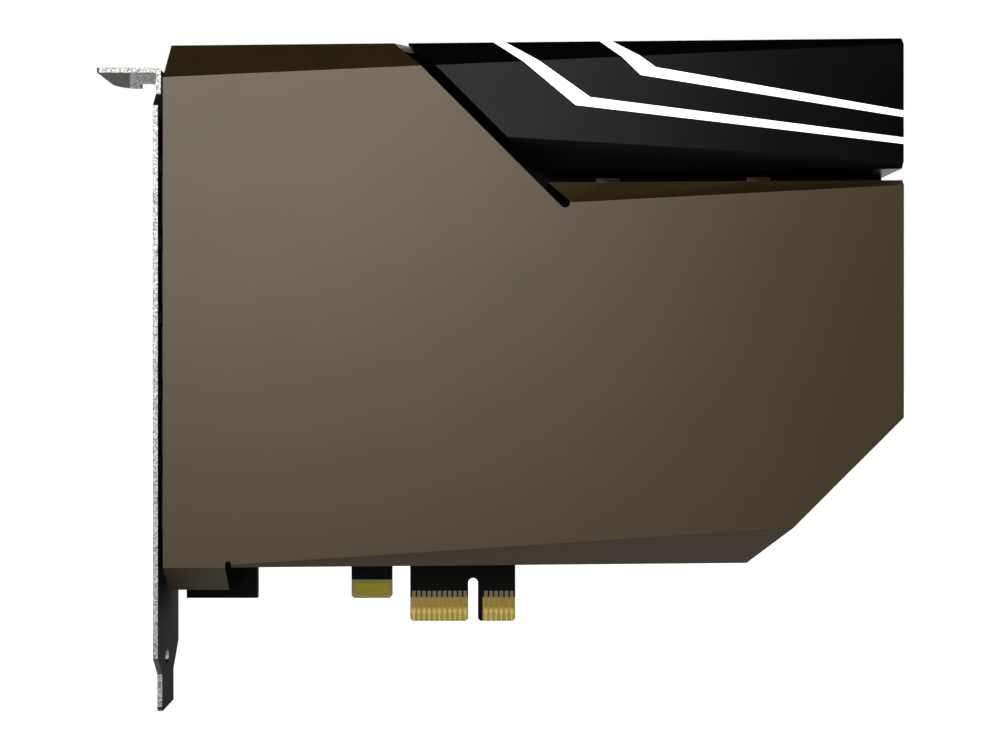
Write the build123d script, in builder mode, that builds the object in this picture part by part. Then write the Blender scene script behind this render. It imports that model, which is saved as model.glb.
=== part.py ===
"""Sound card for a one-lane expansion slot, in millimetres.

+X runs along the slot away from the bracket, +Z is up out of the slot and -Y faces
the component side.  The origin is the middle of the key notch, on the bottom edge of
the slot contacts and half-way through the board.
"""
import os
from math import sqrt

from build123d import *

# Circuit board and its edge
board_thickness = 1.57
board_left_x = -55.6
board_inset = 0.15
board_bottom_margin = 1.0
foot_right_x = -41.8
foot_bottom_z = 4.5
ground_left_x = -23.6
ground_right_x = -15.7
ground_bottom_z = 4.5
slot_edge_left_x = -12.2
slot_edge_right_x = 8.2
tab_corner = 0.5
key_width = 1.9
key_height = 8.4
edge_bevel = 0.4

# Gold on the edge
contact_pitch = 1.0
contact_width = 0.7
contact_top_z = 5.92
contact_taper_top_z = 1.95
contact_taper_bottom_z = 1.25
contact_lead_width = 0.3
contact_clearance = 0.1
gold_thickness = 0.1
long_contact_count = 11
front_short_contact_count = 6
back_short_contact_count = 7
first_short_contact_x = 7.5
last_long_contact_x = -1.5
ground_pad_border = 0.6
ground_pad_height = 2.35

# Cover outline
cover_depth = 14.6
sheet = 1.2
card_right_x = 79.4
card_top_z = 110.2
card_bottom_z = 12.35
corner_cut = 27.7
cover_bracket_gap = 0.95
recess_z = 83.9
slant_top_x = -14.85
slot_width = 1.85

# Cover bevels, given as their height at each end of the fold
top_bevel_left = 7.5
top_bevel_right = 1.35
recess_bevel_left = 4.25
recess_bevel_right = 1.05
bottom_bevel_left = 0.5
bottom_bevel_right = 7.35

# Flap beside the bracket, relief notch, pads in the recess and tongue at the slot
flap_drop = 4.75
flap_width = 11.5
relief_width = 1.0
relief_height = 1.2
relief_depth = 7.3
pad_width = 4.4
pad_height = 0.85
pad_depth = 5.0
pad_from_right = (26.2, 54.1)
tongue_width = 7.0

# Corner panel
panel_wall = 1.6
panel_gap = 2.1
panel_bevel_left = 5.65
panel_bevel_right = 1.15
panel_corner_along_bottom = 3.4
panel_corner_along_slant = 2.7
tongue_clearance = 0.4

# Light bars: places measured left from the right edge and down from the top edge
bar_reach = 6.5
lower_bar_top = (75.5, 73.4)
lower_bar_inner_elbow = (60.45, 12.6)
lower_bar_outer_elbow = (57.75, 11.15)
lower_bar_end = (19.75, 18.6)
upper_bar_top = (55.7, 53.5)
upper_bar_inner_elbow = (48.5, 7.05)
upper_bar_outer_elbow = (45.65, 5.65)
upper_bar_end = (14.8, 13.65)

# Bracket
bracket_thickness = 0.95
bracket_inner_x = -58.0
bracket_width = 18.42
bracket_reach = 14.3
bracket_top_z = 105.05
bracket_length = 120.1
bracket_bend_radius = 0.8
tab_length = 10.95
tab_inset = 2.55
tab_back_radius = 4.5
neck_height = 4.9
tongue_length = 10.65
tongue_inset = 3.7
tongue_blade_width = 10.1
tongue_front_radius = 0.8
tongue_back_radius = 2.6
peg_hole_radius = 1.5
peg_hole_from_front = 8.1
peg_hole_rise = 9.55
screw_notch_width = 4.4
screw_notch_depth = 4.9
screw_notch_offset = 3.9

# Bracket lugs and their screws
lug_length = 9.0
lug_width = 8.0
lug_low_z = 14.5
lug_high_z = 94.0
lug_hole_from_end = 3.0
nut_flats = 4.5
nut_height = 1.8

# Jacks
jack_count = 5
jack_pitch = 14.0
jack_first_z = 24.0
jack_axis_height = 6.0
jack_bore_radius = 1.8
jack_bore_depth = 13.0
jack_body_length = 14.0
jack_body_width = 11.0
jack_body_height = 11.4
jack_body_corner = 0.6
jack_shoulder_length = 1.4
jack_waist_inset = 0.8
bushing_radius = 3.9
bushing_proud = 0.4
bushing_clearance = 0.15

# Posts and screws
post_flats = 5.0
post_edge = 7.0
panel_post_from_slant = 10.5
thread_radius = 1.25
thread_clearance = 0.05
thread_depth = 6.0
screw_engagement = 5.0
screw_hole_radius = 1.6
screw_head_radius = 2.75
screw_head_height = 1.5

# Parts on the board
part_gap = 3.0
processor_size = 14.0
processor_height = 1.4
converter_size = 9.0
converter_height = 1.2
chip_corner = 0.5
amplifier_length = 5.0
amplifier_width = 4.0
amplifier_height = 1.6
amplifier_pitch = 8.0
amplifier_count = 4
transistor_length = 8.0
transistor_width = 3.2
transistor_height = 10.5
transistor_pitch = 7.0
transistor_count = 4
transistor_rise = 7.0
electrolytic_radius = 3.15
electrolytic_height = 7.7
electrolytic_base = 6.6
electrolytic_base_height = 1.0
electrolytic_pitch = 9.0
electrolytic_columns = 3
electrolytic_rows = 2
film_length = 7.2
film_width = 3.4
film_height = 6.5
film_edge = 0.4
film_pitch = 6.0
film_count = 5
film_rise = 15.0
relay_length = 10.0
relay_width = 6.5
relay_height = 5.0
relay_pitch = 10.0
relay_count = 2
relay_drop = 15.0
crystal_length = 11.0
crystal_width = 4.7
crystal_height = 3.5
choke_size = 7.0
choke_corner = 0.9
choke_height = 4.0
choke_winding_radius = 2.9
choke_flange = 0.9
choke_pitch = 10.0
choke_count = 2
regulator_length = 6.5
regulator_width = 3.5
regulator_height = 1.7
regulator_pitch = 8.0
regulator_count = 2
small_part_length = 2.0
small_part_width = 1.25
small_part_height = 0.8
small_part_pitch = 3.4
small_part_rows = 4
small_part_columns = 6
emitter_length = 3.2
emitter_width = 2.6
emitter_height = 1.6
emitter_from_elbow = 7.0
emitter_pitch = 14.0
emitter_count = 3

# Derived planes and places
board_front = -board_thickness / 2
board_back = board_thickness / 2
cover_front = board_front - cover_depth
cover_inside = cover_front + sheet
panel_inside = cover_front + panel_wall
cover_left_x = bracket_inner_x + cover_bracket_gap
cover_cut_x = card_right_x - corner_cut
cover_cut_z = card_bottom_z + corner_cut
flap_right_x = cover_left_x + flap_width
flap_bottom_z = card_bottom_z - flap_drop
cover_slant = slant_top_x + card_top_z
panel_slant = cover_slant + slot_width * sqrt(2)
panel_bottom_z = recess_z + panel_gap
board_right_x = card_right_x - board_inset
board_top_z = card_top_z - board_inset
board_bottom_z = card_bottom_z - board_bottom_margin
bracket_outer_x = bracket_inner_x - bracket_thickness
bracket_front_y = board_front - bracket_reach
bracket_back_y = bracket_front_y + bracket_width
bracket_tip_z = bracket_top_z - bracket_length
blade_bottom_z = bracket_tip_z + tongue_length
jack_axis_y = board_front - jack_axis_height
jack_heights = [jack_first_z + jack_pitch * index for index in range(jack_count)]
jack_back_x = bracket_inner_x + jack_body_length
overcut = 1.0
bevel_reach = 2 * cover_depth


def facing_front(y):
    """Plane parallel to the board at depth y: its x is +X, its y is +Z, it faces -Y."""
    return Plane.XZ.offset(-y)


def along_fold(start, end):
    """Plane across a fold line on the cover's front: its x is depth, its y is up."""
    run = Vector(end[0] - start[0], 0, end[1] - start[1])
    return Plane(origin=(start[0], cover_front, start[1]), x_dir=(0, 1, 0), z_dir=run.normalized())


def cut_bevel(start, end, side, inset=0.0):
    """Cut a 45 degree bevel outward from a fold, above it (side 1) or below it (side -1).

    With an inset, the bevel lies that far inside the one cut without it.
    """
    shift = inset * sqrt(2)
    corner = (-overcut, side * (-overcut - shift))
    deep = (bevel_reach, side * (bevel_reach - shift))
    shallow = (-overcut, side * bevel_reach)
    length = (Vector(*end) - Vector(*start)).length
    with BuildSketch(along_fold(start, end)) as wedge:
        with BuildLine():
            Polyline(corner, deep, shallow, close=True)
        make_face()
    extrude(wedge.sketch, amount=length, mode=Mode.SUBTRACT)


def fold_point(start, end, x):
    """Point of a fold line at the given x."""
    share = (x - start[0]) / (end[0] - start[0])
    return (x, start[1] + share * (end[1] - start[1]))


def save(piece, name):
    """Label a finished piece and write its file."""
    piece.part.label = name
    export_step(piece.part, f"parts/{name}.step")


os.makedirs("parts", exist_ok=True)

# Fold lines on the shared front plane
top_fold_left = (cover_left_x, card_top_z - top_bevel_left)
top_fold_right = (card_right_x, card_top_z - top_bevel_right)
top_fold_start = fold_point(top_fold_left, top_fold_right, cover_left_x - overcut)
top_fold_end = fold_point(top_fold_left, top_fold_right, card_right_x + overcut)
recess_fold_z = recess_z - recess_bevel_left
recess_fold_left = (panel_slant - recess_fold_z, recess_fold_z)
recess_fold_right = (card_right_x, recess_z - recess_bevel_right)
recess_fold_start = fold_point(recess_fold_left, recess_fold_right, panel_slant - recess_z - overcut)
recess_fold_end = fold_point(recess_fold_left, recess_fold_right, card_right_x + overcut)
bottom_fold_left = (flap_right_x, card_bottom_z + bottom_bevel_left)
bottom_fold_right = (cover_cut_x + bottom_bevel_right, card_bottom_z + bottom_bevel_right)
bottom_fold_end = fold_point(bottom_fold_left, bottom_fold_right, bottom_fold_right[0] + overcut)
panel_fold_z = panel_bottom_z + panel_bevel_left
panel_fold_left = (panel_slant - panel_fold_z, panel_fold_z)
panel_fold_right = (card_right_x, panel_bottom_z + panel_bevel_right)
panel_fold_start = fold_point(panel_fold_left, panel_fold_right, panel_fold_left[0] - overcut)
panel_fold_end = fold_point(panel_fold_left, panel_fold_right, card_right_x + overcut)

# Main cover: one folded sheet, open towards the board, the bracket and the panel
field_low_z = (recess_fold_z + cover_cut_z) / 2
slot_middle = (cover_slant + panel_slant) / 2
slot_end_lean = recess_fold_left[0] - recess_fold_left[1] - slot_width / sqrt(2)
slot_end = Vector((slot_middle + slot_end_lean) / 2, (slot_middle - slot_end_lean) / 2)
slot_top = Vector(slot_middle - card_top_z - 2 * slot_width, card_top_z + 2 * slot_width)
relief_x = flap_right_x + relief_width / 2
relief_round_z = card_bottom_z + relief_height - relief_width / 2
tongue_front_y = cover_front + card_top_z - fold_point(top_fold_left, top_fold_right, slant_top_x)[1]


def cover_block(inset):
    """Solid inside the cover's faces, each moved in by the inset.

    An inset block also passes through the sides that the cover leaves open.
    """
    open_by = overcut if inset else 0
    left = cover_left_x - open_by
    right = card_right_x - inset
    top = card_top_z - inset
    bottom = card_bottom_z + inset
    recess = recess_z - inset
    flap_bottom = flap_bottom_z + inset
    flap_right = flap_right_x - inset
    cut_lean = cover_cut_x - card_bottom_z - inset * sqrt(2)
    depth = cover_depth - inset + open_by
    back_plane = facing_front(board_front + open_by)
    with BuildPart() as block:
        with BuildSketch(back_plane):
            with BuildLine():
                Polyline(
                    (panel_slant - recess, recess),
                    (right, recess),
                    (right, field_low_z),
                    (panel_slant - field_low_z, field_low_z),
                    close=True,
                )
            make_face()
        extrude(amount=depth)
        cut_bevel(recess_fold_start, recess_fold_end, 1, inset)
        with BuildSketch(back_plane):
            with BuildLine():
                Polyline(
                    (left, flap_bottom),
                    (flap_right, flap_bottom),
                    (flap_right, bottom),
                    (bottom + cut_lean, bottom),
                    (right, right - cut_lean),
                    (right, field_low_z),
                    (panel_slant - field_low_z, field_low_z),
                    (panel_slant - top, top),
                    (left, top),
                    close=True,
                )
            make_face()
        extrude(amount=depth)
        cut_bevel(top_fold_start, top_fold_end, 1, inset)
        cut_bevel(bottom_fold_left, bottom_fold_end, -1, inset)
        cut_bevel((left - overcut, card_bottom_z), (flap_right_x, card_bottom_z), -1, inset)
    return block.part


with BuildPart() as main_cover:
    add(cover_block(0))
    add(cover_block(sheet), mode=Mode.SUBTRACT)
    # Round-ended slot beside the slanted edge
    with BuildSketch(facing_front(cover_front - overcut)):
        SlotCenterPoint(center=(slot_end + slot_top) / 2, point=slot_end, height=slot_width)
    extrude(amount=-cover_depth - overcut, mode=Mode.SUBTRACT)
    # Relief notch between the flap and the bottom bevel
    with BuildSketch(facing_front(cover_front - overcut)):
        with Locations((relief_x, (relief_round_z + flap_bottom_z) / 2)):
            Rectangle(relief_width, relief_round_z - flap_bottom_z)
        with Locations((relief_x, relief_round_z)):
            Circle(relief_width / 2)
    extrude(amount=-relief_depth - overcut, mode=Mode.SUBTRACT)
    # Two pads on the recess wall, whose slanted fronts carry on from the back edge of the bevel
    for distance in pad_from_right:
        pad_x = card_right_x - distance
        pad_front = cover_front + recess_z - fold_point(recess_fold_left, recess_fold_right, pad_x)[1]
        side_plane = Plane(origin=(pad_x - pad_width / 2, 0, 0), x_dir=(0, 1, 0), z_dir=(1, 0, 0))
        with BuildSketch(side_plane):
            with BuildLine():
                Polyline(
                    (pad_front, recess_z),
                    (pad_front + pad_height, recess_z + pad_height),
                    (pad_front + pad_depth, recess_z + pad_height),
                    (pad_front + pad_depth, recess_z),
                    close=True,
                )
            make_face()
        extrude(amount=pad_width)
    # Tongue of the top wall that reaches under the panel
    with BuildSketch(Plane.XY.offset(card_top_z - sheet)):
        with BuildLine():
            Polyline(
                (slant_top_x, tongue_front_y),
                (slant_top_x + tongue_width, tongue_front_y + tongue_width),
                (slant_top_x + tongue_width, board_front),
                (slant_top_x, board_front),
                close=True,
            )
        make_face()
    extrude(amount=sheet)
save(main_cover, "main_cover")

# Corner panel: moulded shell with two bent channels for the light bars
panel_corner_x = panel_slant - panel_bottom_z + panel_corner_along_bottom
panel_corner_z = panel_bottom_z + panel_corner_along_slant
with BuildPart() as panel_shell:
    with BuildSketch(facing_front(board_front)):
        with BuildLine():
            Polyline(
                (panel_slant - card_top_z, card_top_z),
                (panel_slant - panel_corner_z, panel_corner_z),
                (panel_corner_x, panel_bottom_z),
                (card_right_x, panel_bottom_z),
                (card_right_x, card_top_z),
                close=True,
            )
        make_face()
    extrude(amount=cover_depth)
    cut_bevel(top_fold_start, top_fold_end, 1)
    cut_bevel(panel_fold_start, panel_fold_end, -1)
    panel_back = panel_shell.faces().filter_by(Axis.Y).sort_by(Axis.Y)[-1]
    offset(amount=-panel_wall, openings=panel_back, kind=Kind.INTERSECTION)


def bar_points(top, inner_elbow, outer_elbow, end):
    """Outline of a light bar, from its top edge round its elbow to the right edge."""
    right = card_right_x
    high = card_top_z
    return [
        (right - top[0], high),
        (right - inner_elbow[0], high - inner_elbow[1]),
        (right, high - end[0]),
        (right, high - end[1]),
        (right - outer_elbow[0], high - outer_elbow[1]),
        (right - top[1], high),
    ]


lower_bar = bar_points(lower_bar_top, lower_bar_inner_elbow, lower_bar_outer_elbow, lower_bar_end)
upper_bar = bar_points(upper_bar_top, upper_bar_inner_elbow, upper_bar_outer_elbow, upper_bar_end)

with BuildPart() as corner_panel:
    add(panel_shell.part)
    for points in (lower_bar, upper_bar):
        with BuildSketch(facing_front(cover_front)):
            with BuildLine():
                Polyline(*points, close=True)
            make_face()
        extrude(amount=-bar_reach, mode=Mode.SUBTRACT)
    # Room for the cover's tongue under the top wall
    notch_right_x = slant_top_x + tongue_width + tongue_clearance
    notch_low_z = card_top_z - sheet - tongue_clearance
    notch_lead = tongue_clearance * sqrt(2)
    with BuildSketch(Plane.XY.offset(notch_low_z)):
        with BuildLine():
            Polyline(
                (slant_top_x, tongue_front_y - notch_lead),
                (notch_right_x, tongue_front_y - notch_lead + notch_right_x - slant_top_x),
                (notch_right_x, board_front),
                (slant_top_x, board_front),
                close=True,
            )
        make_face()
    extrude(amount=sheet + tongue_clearance, mode=Mode.SUBTRACT)
save(corner_panel, "corner_panel")

with BuildPart() as light_bar_lower:
    add(panel_shell.part)
    with BuildSketch(facing_front(cover_front)):
        with BuildLine():
            Polyline(*lower_bar, close=True)
        make_face()
    extrude(amount=-bar_reach, mode=Mode.INTERSECT)
save(light_bar_lower, "light_bar_lower")

with BuildPart() as light_bar_upper:
    add(panel_shell.part)
    with BuildSketch(facing_front(cover_front)):
        with BuildLine():
            Polyline(*upper_bar, close=True)
        make_face()
    extrude(amount=-bar_reach, mode=Mode.INTERSECT)
save(light_bar_upper, "light_bar_upper")

# Places of the posts and of the bracket lugs' screws
post_high_z = card_top_z - top_bevel_left - post_edge
cover_post_places = [
    (bracket_inner_x + lug_length + post_edge, post_high_z),
    (slant_top_x - post_edge, post_high_z),
    (jack_back_x + post_edge, card_bottom_z + bottom_bevel_left + post_edge),
    (cover_cut_x - post_edge, card_bottom_z + bottom_bevel_right + post_edge),
    (card_right_x - post_edge, recess_fold_z - post_edge),
]
panel_post_z = (panel_fold_z + top_fold_left[1]) / 2
panel_post_places = [
    (panel_slant - panel_post_z + panel_post_from_slant, panel_post_z),
    (card_right_x - post_edge, card_top_z - top_bevel_right - post_edge),
]
post_places = cover_post_places + panel_post_places
lug_hole_x = bracket_inner_x + lug_length - lug_hole_from_end
lug_places = [(lug_hole_x, lug_low_z), (lug_hole_x, lug_high_z)]


def edge_tab(left, right, bottom):
    """Add a tab with clipped corners that hangs below the board's bottom edge."""
    with BuildLine() as outline:
        Polyline(
            (left, board_bottom_z + overcut),
            (left, bottom + tab_corner),
            (left + tab_corner, bottom),
            (right - tab_corner, bottom),
            (right, bottom + tab_corner),
            (right, board_bottom_z + overcut),
            close=True,
        )
    make_face(outline.edges())


# Circuit board with foot, ground tab, slot edge and screw holes
board_cut = cover_cut_x - card_bottom_z - board_inset * sqrt(2)
with BuildPart() as circuit_board:
    with BuildSketch(facing_front(board_back)):
        with BuildLine():
            Polyline(
                (board_left_x, foot_bottom_z),
                (foot_right_x, foot_bottom_z),
                (foot_right_x, board_bottom_z),
                (board_cut + board_bottom_z, board_bottom_z),
                (board_right_x, board_right_x - board_cut),
                (board_right_x, board_top_z),
                (board_left_x, board_top_z),
                close=True,
            )
        make_face()
        edge_tab(ground_left_x, ground_right_x, ground_bottom_z)
        edge_tab(slot_edge_left_x, slot_edge_right_x, 0)
        with Locations((0, key_height - key_width / 2)):
            Circle(key_width / 2, mode=Mode.SUBTRACT)
        with Locations((0, (key_height - key_width / 2 - overcut) / 2)):
            Rectangle(key_width, key_height - key_width / 2 + overcut, mode=Mode.SUBTRACT)
        with BuildLine():
            Polyline(
                (-key_width / 2, tab_corner),
                (-key_width / 2 - tab_corner, 0),
                (-key_width / 2 - tab_corner, -overcut),
                (key_width / 2 + tab_corner, -overcut),
                (key_width / 2 + tab_corner, 0),
                (key_width / 2, tab_corner),
                close=True,
            )
        make_face(mode=Mode.SUBTRACT)
        with Locations(*post_places, *lug_places):
            Circle(screw_hole_radius, mode=Mode.SUBTRACT)
    extrude(amount=board_thickness)
    slot_rim = circuit_board.edges().filter_by(Axis.X).group_by(Axis.Z)[0]
    chamfer(slot_rim, length=edge_bevel)
save(circuit_board, "circuit_board")


def contact_row(plane, short_count):
    """Gold contacts on one face of the slot edge, each tapering to a narrow lead at the edge."""
    long_places = [last_long_contact_x - contact_pitch * index for index in range(long_contact_count)]
    short_places = [first_short_contact_x - contact_pitch * index for index in range(short_count)]
    half_pad = contact_width / 2
    half_lead = contact_lead_width / 2
    lead_bottom_z = edge_bevel + contact_clearance
    with BuildSketch(plane) as contacts:
        for x in long_places + short_places:
            with BuildLine() as outline:
                Polyline(
                    (x - half_pad, contact_top_z),
                    (x - half_pad, contact_taper_top_z),
                    (x - half_lead, contact_taper_bottom_z),
                    (x - half_lead, lead_bottom_z),
                    (x + half_lead, lead_bottom_z),
                    (x + half_lead, contact_taper_bottom_z),
                    (x + half_pad, contact_taper_top_z),
                    (x + half_pad, contact_top_z),
                    close=True,
                )
            make_face(outline.edges())
    extrude(contacts.sketch, amount=gold_thickness)


with BuildPart() as edge_contacts_front:
    contact_row(facing_front(board_front), front_short_contact_count)
save(edge_contacts_front, "edge_contacts_front")

with BuildPart() as edge_contacts_back:
    contact_row(facing_front(board_back + gold_thickness), back_short_contact_count)
save(edge_contacts_back, "edge_contacts_back")


def ground_pad(plane):
    """Gold plating on one face of the ground tab."""
    width = ground_right_x - ground_left_x - 2 * ground_pad_border
    middle_x = (ground_left_x + ground_right_x) / 2
    with BuildSketch(plane) as plating:
        with Locations((middle_x, ground_bottom_z + ground_pad_border + ground_pad_height / 2)):
            Rectangle(width, ground_pad_height)
    extrude(plating.sketch, amount=gold_thickness)


with BuildPart() as ground_pad_front:
    ground_pad(facing_front(board_front))
save(ground_pad_front, "ground_pad_front")

with BuildPart() as ground_pad_back:
    ground_pad(facing_front(board_back + gold_thickness))
save(ground_pad_back, "ground_pad_back")

# Bracket: blade with shouldered tongue, folded screw tab and two board lugs
tongue_front_edge = bracket_front_y + tongue_inset
tongue_back_edge = tongue_front_edge + tongue_blade_width
back_shoulder = bracket_back_y - tongue_back_edge
neck_front_y = bracket_front_y + tab_inset
neck_bottom_z = bracket_top_z - neck_height
tab_end_x = bracket_outer_x - tab_length
screw_notch_x = bracket_outer_x - screw_notch_offset
notch_round_y = bracket_back_y - screw_notch_depth + screw_notch_width / 2
blade_plane = Plane(origin=(bracket_inner_x, 0, 0), x_dir=(0, 1, 0), z_dir=(1, 0, 0))
with BuildPart() as io_bracket:
    with BuildSketch(blade_plane) as blade:
        with BuildLine():
            Polyline(
                (neck_front_y, bracket_top_z),
                (neck_front_y, neck_bottom_z),
                (bracket_front_y, neck_bottom_z - tab_inset),
                (bracket_front_y, blade_bottom_z),
                (tongue_front_edge, blade_bottom_z - tongue_inset),
                (tongue_front_edge, bracket_tip_z),
                (tongue_back_edge, bracket_tip_z),
                (tongue_back_edge, blade_bottom_z - back_shoulder),
                (bracket_back_y, blade_bottom_z),
                (bracket_back_y, bracket_top_z),
                close=True,
            )
        make_face()
        tip_corners = blade.vertices().group_by(Axis.Y)[0].sort_by(Axis.X)
        fillet(tip_corners[0], radius=tongue_front_radius)
        fillet(tip_corners[-1], radius=tongue_back_radius)
        with Locations((bracket_front_y + peg_hole_from_front, bracket_tip_z + peg_hole_rise)):
            Circle(peg_hole_radius, mode=Mode.SUBTRACT)
        with Locations(*[(jack_axis_y, z) for z in jack_heights]):
            Circle(bushing_radius + bushing_clearance, mode=Mode.SUBTRACT)
    extrude(amount=-bracket_thickness)
    # Screw tab with an open notch and a rounded back corner
    with BuildSketch(Plane.XY.offset(bracket_top_z - bracket_thickness)) as screw_tab:
        with BuildLine():
            Polyline(
                (bracket_inner_x, neck_front_y),
                (bracket_inner_x, bracket_back_y),
                (tab_end_x, bracket_back_y),
                (tab_end_x, neck_front_y),
                close=True,
            )
        make_face()
        back_corner = screw_tab.vertices().group_by(Axis.X)[0].sort_by(Axis.Y)[-1]
        fillet(back_corner, radius=tab_back_radius)
        with Locations((screw_notch_x, notch_round_y)):
            Circle(screw_notch_width / 2, mode=Mode.SUBTRACT)
        with Locations((screw_notch_x, (notch_round_y + bracket_back_y + overcut) / 2)):
            Rectangle(screw_notch_width, bracket_back_y + overcut - notch_round_y, mode=Mode.SUBTRACT)
    extrude(amount=bracket_thickness)
    top_bend = io_bracket.edges().filter_by(Axis.Y).group_by(Axis.Z)[-1].sort_by(Axis.X)[-1]
    fillet(top_bend, radius=bracket_bend_radius)
    # Lugs folded in behind the board
    with BuildSketch(facing_front(board_back)):
        for place in lug_places:
            with Locations((bracket_inner_x + lug_length / 2, place[1])):
                Rectangle(lug_length, lug_width)
            with Locations(place):
                Circle(screw_hole_radius, mode=Mode.SUBTRACT)
    extrude(amount=-bracket_thickness)
save(io_bracket, "io_bracket")


def screws(places, seat_y, length):
    """Pan head screws that go in from the back of the card, one at each place."""
    for x, z in places:
        axis_plane = Plane(origin=(x, seat_y, z), x_dir=(1, 0, 0), z_dir=(0, 0, 1))
        with BuildSketch(axis_plane) as half_section:
            with BuildLine():
                Polyline(
                    (0, screw_head_height),
                    (0, -length),
                    (thread_radius, -length),
                    (thread_radius, 0),
                    (screw_head_radius, 0),
                    (screw_head_radius, screw_head_height),
                    close=True,
                )
            make_face()
        revolve(half_section.sketch, axis=Axis((x, seat_y, z), (0, 1, 0)))


def posts(places, top_y):
    """Hexagonal posts from the board to the given depth, threaded at the board end."""
    with BuildSketch(facing_front(board_front)) as hexagons:
        with Locations(*places):
            RegularPolygon(radius=post_flats / 2, side_count=6, major_radius=False)
    extrude(hexagons.sketch, amount=board_front - top_y)
    with BuildSketch(facing_front(board_front)) as threads:
        with Locations(*places):
            Circle(thread_radius + thread_clearance)
    extrude(threads.sketch, amount=thread_depth, mode=Mode.SUBTRACT)


with BuildPart() as cover_posts:
    posts(cover_post_places, cover_inside)
save(cover_posts, "cover_posts")

with BuildPart() as panel_posts:
    posts(panel_post_places, panel_inside)
save(panel_posts, "panel_posts")

with BuildPart() as cover_screws:
    screws(post_places, board_back, board_thickness + screw_engagement)
save(cover_screws, "cover_screws")

lug_back = board_back + bracket_thickness
with BuildPart() as bracket_screws:
    screws(lug_places, lug_back, bracket_thickness + board_thickness + nut_height)
save(bracket_screws, "bracket_screws")

with BuildPart() as bracket_nuts:
    with BuildSketch(facing_front(board_front)):
        with Locations(*lug_places):
            RegularPolygon(radius=nut_flats / 2, side_count=6, major_radius=False)
            Circle(thread_radius + thread_clearance, mode=Mode.SUBTRACT)
    extrude(amount=nut_height)
save(bracket_nuts, "bracket_nuts")


def jack_axis(x, z):
    """Plane across a jack at x, facing out of the bracket."""
    return Plane(origin=(x, jack_axis_y, z), x_dir=(0, 1, 0), z_dir=(-1, 0, 0))


# Jacks: a moulded body on the board and a metal bushing through the bracket for each
body_front = board_front - jack_body_height
for index, height in enumerate(jack_heights, start=1):
    with BuildPart() as jack_body:
        with BuildSketch(facing_front(board_front)):
            with Locations((bracket_inner_x + jack_body_length / 2, height)):
                Rectangle(jack_body_length, jack_body_width)
        extrude(amount=jack_body_height)
        front_rim = jack_body.edges().filter_by(Axis.X).group_by(Axis.Y)[0]
        chamfer(front_rim, length=jack_body_corner)
        # Waist behind the shoulder that meets the bracket
        waist_length = jack_body_length - 2 * jack_shoulder_length
        for side in (-1, 1):
            with BuildSketch(facing_front(body_front)):
                with Locations((bracket_inner_x + jack_body_length / 2, height + side * jack_body_width / 2)):
                    Rectangle(waist_length, 2 * jack_waist_inset)
            extrude(amount=-jack_body_height, mode=Mode.SUBTRACT)
        with BuildSketch(jack_axis(bracket_inner_x, height)):
            Circle(jack_bore_radius)
        extrude(amount=-jack_bore_depth, mode=Mode.SUBTRACT)
    save(jack_body, f"jack_body_{index}")

    with BuildPart() as jack_bushing:
        with BuildSketch(jack_axis(bracket_inner_x, height)):
            Circle(bushing_radius)
            Circle(jack_bore_radius, mode=Mode.SUBTRACT)
        extrude(amount=bracket_thickness + bushing_proud)
    save(jack_bushing, f"jack_bushing_{index}")

# Zones for the parts on the board
analog_x = jack_back_x + part_gap + film_length / 2
middle_z = (card_bottom_z + recess_fold_z) / 2
processor_x = (slant_top_x + cover_cut_x) / 2
power_x = cover_cut_x + part_gap


def chip(width, length, height, x, z):
    """Flat moulded package on the board with its pin-one corner clipped."""
    with BuildSketch(facing_front(board_front)) as outline:
        with Locations((x, z)):
            Rectangle(width, length)
        first_corner = outline.vertices().group_by(Axis.X)[0].sort_by(Axis.Y)[-1]
        chamfer(first_corner, length=chip_corner)
    extrude(outline.sketch, amount=height)


with BuildPart() as audio_processor:
    chip(processor_size, processor_size, processor_height, processor_x, middle_z)
save(audio_processor, "audio_processor")

with BuildPart() as converter_chip:
    chip(converter_size, converter_size, converter_height, slant_top_x, middle_z)
save(converter_chip, "converter_chip")


def package_column(x, middle, pitch, count):
    """Places of like parts stacked above each other at x."""
    return [(x, middle + pitch * (index - (count - 1) / 2)) for index in range(count)]


with BuildPart() as amplifier_chips:
    amplifier_x = slant_top_x - converter_size / 2 - amplifier_length / 2 - part_gap
    with BuildSketch(facing_front(board_front)):
        with Locations(*package_column(amplifier_x, middle_z, amplifier_pitch, amplifier_count)):
            Rectangle(amplifier_length, amplifier_width)
    extrude(amount=amplifier_height)
save(amplifier_chips, "amplifier_chips")

with BuildPart() as output_transistors:
    transistor_x = slant_top_x + converter_size / 2 + transistor_length / 2 + part_gap
    transistor_z = middle_z + transistor_rise
    with BuildSketch(facing_front(board_front)):
        with Locations(*package_column(transistor_x, transistor_z, transistor_pitch, transistor_count)):
            Rectangle(transistor_length, transistor_width)
    extrude(amount=transistor_height)
save(output_transistors, "output_transistors")

with BuildPart() as regulators:
    with BuildSketch(facing_front(board_front)):
        with Locations(*package_column(power_x, cover_cut_z, regulator_pitch, regulator_count)):
            Rectangle(regulator_length, regulator_width)
    extrude(amount=regulator_height)
save(regulators, "regulators")


def electrolytic(x, z):
    """Can capacitor on a square base."""
    with BuildSketch(facing_front(board_front)) as base:
        with Locations((x, z)):
            Rectangle(electrolytic_base, electrolytic_base)
    extrude(base.sketch, amount=electrolytic_base_height)
    can_plane = Plane(origin=(x, board_front, z), x_dir=(1, 0, 0), z_dir=(0, 0, 1))
    with BuildSketch(can_plane) as half_section:
        with BuildLine():
            Polyline(
                (0, -electrolytic_base_height),
                (electrolytic_radius, -electrolytic_base_height),
                (electrolytic_radius, -electrolytic_height),
                (0, -electrolytic_height),
                close=True,
            )
        make_face()
    revolve(half_section.sketch, axis=Axis((x, board_front, z), (0, 1, 0)))


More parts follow.
